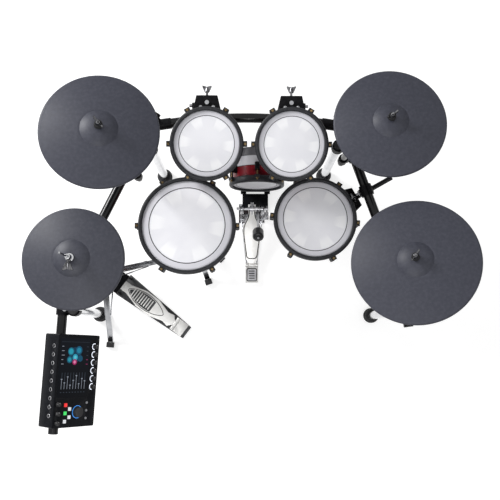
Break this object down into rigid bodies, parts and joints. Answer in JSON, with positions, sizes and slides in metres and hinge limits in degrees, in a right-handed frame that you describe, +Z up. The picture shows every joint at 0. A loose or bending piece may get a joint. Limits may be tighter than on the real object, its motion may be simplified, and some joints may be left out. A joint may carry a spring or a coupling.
{
  "type": "electronic drum kit",
  "caption": "Tube-rack electronic drum kit with mesh drum pads, rubber cymbal pads, kick and hi-hat pedals and a rail-mounted sound module.",
  "frame": {"origin": "on the floor under the middle of the kit's bounding box", "axes": "+X to the player's right, +Y away from the player, +Z up"},
  "size_m": [1.6813, 1.3343, 1.12],
  "materials": {
    "black_tube": "gloss",
    "chrome": "polished",
    "clamp_black": "satin",
    "rubber": "matte",
    "pedal_metal": "satin",
    "steel": "satin",
    "shell_red": "gloss lacquer",
    "mesh_white": "woven",
    "case_black": "satin",
    "screen_glass": "gloss",
    "knob_black": "satin",
    "button_plastic": "satin"
  },
  "bodies": {
    "rack": {"back_rail": "black_tube", "side_rails": "black_tube", "rack_legs": "chrome", "rubber_feet": "rubber", "rail_clamps": "clamp_black", "clamp_bolts": "chrome", "cymbal_arms": "chrome", "tripod_stands": "chrome", "kick_tower": "clamp_black", "kick_shell": "shell_red", "kick_hoop": "rubber", "kick_head": "mesh_white", "pedal_frame": "pedal_metal", "kick_chain": "steel", "kick_spring": "steel"},
    "kick_pedal_board": {"kick_footboard": "pedal_metal"},
    "kick_drive": {"kick_axle": "chrome", "kick_beater": "rubber"},
    "hihat_pedal_board": {"hihat_footboard": "pedal_metal"},
    "hihat_puller": {"hihat_rod": "chrome", "hihat_pad": "rubber"},
    "snare_unit": {"snare_basket": "chrome", "snare_shell": "shell_red", "snare_hoop": "rubber", "snare_head": "mesh_white"},
    "tom_left_unit": {"tom_left_shell": "shell_red", "tom_left_hoop": "rubber", "tom_left_head": "mesh_white"},
    "tom_right_unit": {"tom_right_shell": "shell_red", "tom_right_hoop": "rubber", "tom_right_head": "mesh_white"},
    "floor_tom_unit": {"floor_tom_shell": "shell_red", "floor_tom_hoop": "rubber", "floor_tom_head": "mesh_white"},
    "module_unit": {"module_case": "case_black", "module_screen": "screen_glass"},
    "crash_left_tilt_unit": {"crash_left_tilter": "chrome"},
    "crash_left_pad_unit": {"crash_left_pad": "rubber"},
    "crash_right_tilt_unit": {"crash_right_tilter": "chrome"},
    "crash_right_pad_unit": {"crash_right_pad": "rubber"},
    "ride_tilt_unit": {"ride_tilter": "chrome"},
    "ride_pad_unit": {"ride_pad": "rubber"},
    "encoder_1_unit": {"encoder_1": "knob_black"},
    "encoder_2_unit": {"encoder_2": "knob_black"},
    "encoder_3_unit": {"encoder_3": "knob_black"},
    "encoder_4_unit": {"encoder_4": "knob_black"},
    "encoder_5_unit": {"encoder_5": "knob_black"},
    "encoder_6_unit": {"encoder_6": "knob_black"},
    "main_dial_unit": {"main_dial": "knob_black"},
    "volume_1_unit": {"volume_1": "knob_black"},
    "volume_2_unit": {"volume_2": "knob_black"},
    "volume_3_unit": {"volume_3": "knob_black"},
    "button_1_unit": {"button_1": "button_plastic"},
    "button_2_unit": {"button_2": "button_plastic"},
    "button_3_unit": {"button_3": "button_plastic"},
    "button_4_unit": {"button_4": "button_plastic"},
    "button_5_unit": {"button_5": "button_plastic"},
    "round_button_1_unit": {"round_button_1": "button_plastic"},
    "round_button_2_unit": {"round_button_2": "button_plastic"},
    "round_button_3_unit": {"round_button_3": "button_plastic"}
  },
  "joints": [
    {"name": "kick_footboard", "type": "hinge", "parent": "rack", "child": "kick_pedal_board", "pos_m": [0.04764, 0.03277, 0.03], "axis": [1, 0, 0], "range_deg": [-6.1, 0], "deforming": ["kick_chain"]},
    {"name": "kick_beater", "type": "hinge", "parent": "rack", "child": "kick_drive", "pos_m": [0.04764, 0.26877, 0.19], "axis": [1, 0, 0], "range_deg": [-63.31, 0], "stiffness_Nm_per_rad": 0.8, "springref_deg": 20.05, "deforming": ["kick_spring"]},
    {"name": "hihat_footboard", "type": "hinge", "parent": "rack", "child": "hihat_pedal_board", "pos_m": [-0.30383, -0.23886, 0.03], "axis": [-0.6018, -0.7986, 0], "range_deg": [0, 4]},
    {"name": "hihat_pull", "type": "slide", "parent": "rack", "child": "hihat_puller", "axis": [0, 0, 1], "range_m": [-0.02439, 0], "stiffness_N_per_m": 300, "springref_m": 0.06},
    {"name": "snare_tilt", "type": "hinge", "parent": "rack", "child": "snare_unit", "pos_m": [-0.21136, 0.13277, 0.414], "axis": [1, 0, 0], "range_deg": [-3.5, 2]},
    {"name": "tom_left_tilt", "type": "hinge", "parent": "rack", "child": "tom_left_unit", "pos_m": [-0.13136, 0.62509, 0.56], "axis": [1, 0, 0], "range_deg": [-15, 1]},
    {"name": "tom_right_tilt", "type": "hinge", "parent": "rack", "child": "tom_right_unit", "pos_m": [0.18964, 0.62362, 0.56], "axis": [1, 0, 0], "range_deg": [-15, 1]},
    {"name": "floor_tom_tilt", "type": "hinge", "parent": "rack", "child": "floor_tom_unit", "pos_m": [0.43655, 0.24676, 0.511], "axis": [0.8704, 0.4924, 0], "range_deg": [-8, 8]},
    {"name": "crash_left_tilt", "type": "hinge", "parent": "rack", "child": "crash_left_tilt_unit", "pos_m": [-0.48239, 0.38717, 0.99532], "axis": [0.6503, -0.7597, 0], "range_deg": [-12, 12]},
    {"name": "crash_left_swing", "type": "hinge", "parent": "crash_left_tilt_unit", "child": "crash_left_pad_unit", "pos_m": [-0.4737, 0.39461, 1.0661], "axis": [0.75, 0.642, -0.1596], "range_deg": [-4, 4], "stiffness_Nm_per_rad": 6},
    {"name": "crash_right_tilt", "type": "hinge", "parent": "rack", "child": "crash_right_tilt_unit", "pos_m": [0.53637, 0.46216, 0.8402], "axis": [0.8326, 0.5539, 0], "range_deg": [-12, 12]},
    {"name": "crash_right_swing", "type": "hinge", "parent": "crash_right_tilt_unit", "child": "crash_right_pad_unit", "pos_m": [0.5314, 0.46964, 0.91133], "axis": [-0.5496, 0.826, -0.1252], "range_deg": [-4, 4], "stiffness_Nm_per_rad": 6},
    {"name": "ride_tilt", "type": "hinge", "parent": "rack", "child": "ride_tilt_unit", "pos_m": [0.62418, -0.03847, 0.83099], "axis": [0.607, 0.7947, 0], "range_deg": [-12, 12]},
    {"name": "ride_swing", "type": "hinge", "parent": "ride_tilt_unit", "child": "ride_pad_unit", "pos_m": [0.60828, -0.02633, 0.89985], "axis": [-0.7632, 0.5829, -0.279], "range_deg": [-4, 4], "stiffness_Nm_per_rad": 6},
    {"name": "module_tilt", "type": "hinge", "parent": "rack", "child": "module_unit", "pos_m": [-0.70762, -0.45728, 0.56], "axis": [-0.0523, -0.9986, 0], "range_deg": [-10, 10]},
    {"name": "encoder_1_turn", "type": "hinge", "parent": "module_unit", "child": "encoder_1_unit", "pos_m": [-0.56738, -0.33545, 0.55931], "axis": [0.7975, -0.0418, 0.6018], "continuous": true},
    {"name": "encoder_2_turn", "type": "hinge", "parent": "module_unit", "child": "encoder_2_unit", "pos_m": [-0.56897, -0.36581, 0.55931], "axis": [0.7975, -0.0418, 0.6018], "continuous": true},
    {"name": "encoder_3_turn", "type": "hinge", "parent": "module_unit", "child": "encoder_3_unit", "pos_m": [-0.57056, -0.39617, 0.55931], "axis": [0.7975, -0.0418, 0.6018], "continuous": true},
    {"name": "encoder_4_turn", "type": "hinge", "parent": "module_unit", "child": "encoder_4_unit", "pos_m": [-0.57215, -0.42653, 0.55931], "axis": [0.7975, -0.0418, 0.6018], "continuous": true},
    {"name": "encoder_5_turn", "type": "hinge", "parent": "module_unit", "child": "encoder_5_unit", "pos_m": [-0.57374, -0.45688, 0.55931], "axis": [0.7975, -0.0418, 0.6018], "continuous": true},
    {"name": "encoder_6_turn", "type": "hinge", "parent": "module_unit", "child": "encoder_6_unit", "pos_m": [-0.57533, -0.48724, 0.55931], "axis": [0.7975, -0.0418, 0.6018], "continuous": true},
    {"name": "main_dial_turn", "type": "hinge", "parent": "module_unit", "child": "main_dial_unit", "pos_m": [-0.61806, -0.57813, 0.60963], "axis": [0.7975, -0.0418, 0.6018], "continuous": true},
    {"name": "volume_1_turn", "type": "hinge", "parent": "module_unit", "child": "volume_1_unit", "pos_m": [-0.67418, -0.54515, 0.6863], "axis": [0.7975, -0.0418, 0.6018], "range_deg": [-140, 140]},
    {"name": "volume_2_turn", "type": "hinge", "parent": "module_unit", "child": "volume_2_unit", "pos_m": [-0.67596, -0.5791, 0.6863], "axis": [0.7975, -0.0418, 0.6018], "range_deg": [-140, 140]},
    {"name": "volume_3_turn", "type": "hinge", "parent": "module_unit", "child": "volume_3_unit", "pos_m": [-0.67774, -0.61306, 0.6863], "axis": [0.7975, -0.0418, 0.6018], "range_deg": [-140, 140]},
    {"name": "button_1_press", "type": "slide", "parent": "module_unit", "child": "button_1_unit", "axis": [0.7975, -0.0418, 0.6018], "range_m": [-0.001, 0], "stiffness_N_per_m": 400, "springref_m": 0.0005},
    {"name": "button_2_press", "type": "slide", "parent": "module_unit", "child": "button_2_unit", "axis": [0.7975, -0.0418, 0.6018], "range_m": [-0.001, 0], "stiffness_N_per_m": 400, "springref_m": 0.0005},
    {"name": "button_3_press", "type": "slide", "parent": "module_unit", "child": "button_3_unit", "axis": [0.7975, -0.0418, 0.6018], "range_m": [-0.001, 0], "stiffness_N_per_m": 400, "springref_m": 0.0005},
    {"name": "button_4_press", "type": "slide", "parent": "module_unit", "child": "button_4_unit", "axis": [0.7975, -0.0418, 0.6018], "range_m": [-0.001, 0], "stiffness_N_per_m": 400, "springref_m": 0.0005},
    {"name": "button_5_press", "type": "slide", "parent": "module_unit", "child": "button_5_unit", "axis": [0.7975, -0.0418, 0.6018], "range_m": [-0.001, 0], "stiffness_N_per_m": 400, "springref_m": 0.0005},
    {"name": "round_button_1_press", "type": "slide", "parent": "module_unit", "child": "round_button_1_unit", "axis": [0.7975, -0.0418, 0.6018], "range_m": [-0.001, 0], "stiffness_N_per_m": 400, "springref_m": 0.0005},
    {"name": "round_button_2_press", "type": "slide", "parent": "module_unit", "child": "round_button_2_unit", "axis": [0.7975, -0.0418, 0.6018], "range_m": [-0.001, 0], "stiffness_N_per_m": 400, "springref_m": 0.0005},
    {"name": "round_button_3_press", "type": "slide", "parent": "module_unit", "child": "round_button_3_unit", "axis": [0.7975, -0.0418, 0.6018], "range_m": [-0.001, 0], "stiffness_N_per_m": 400, "springref_m": 0.0005}
  ],
  "couplings": [
    {"joint": "kick_beater", "follows": "kick_footboard", "ratio": 10.346},
    {"joint": "hihat_pull", "follows": "hihat_footboard", "m_per_rad": -0.3436}
  ]
}
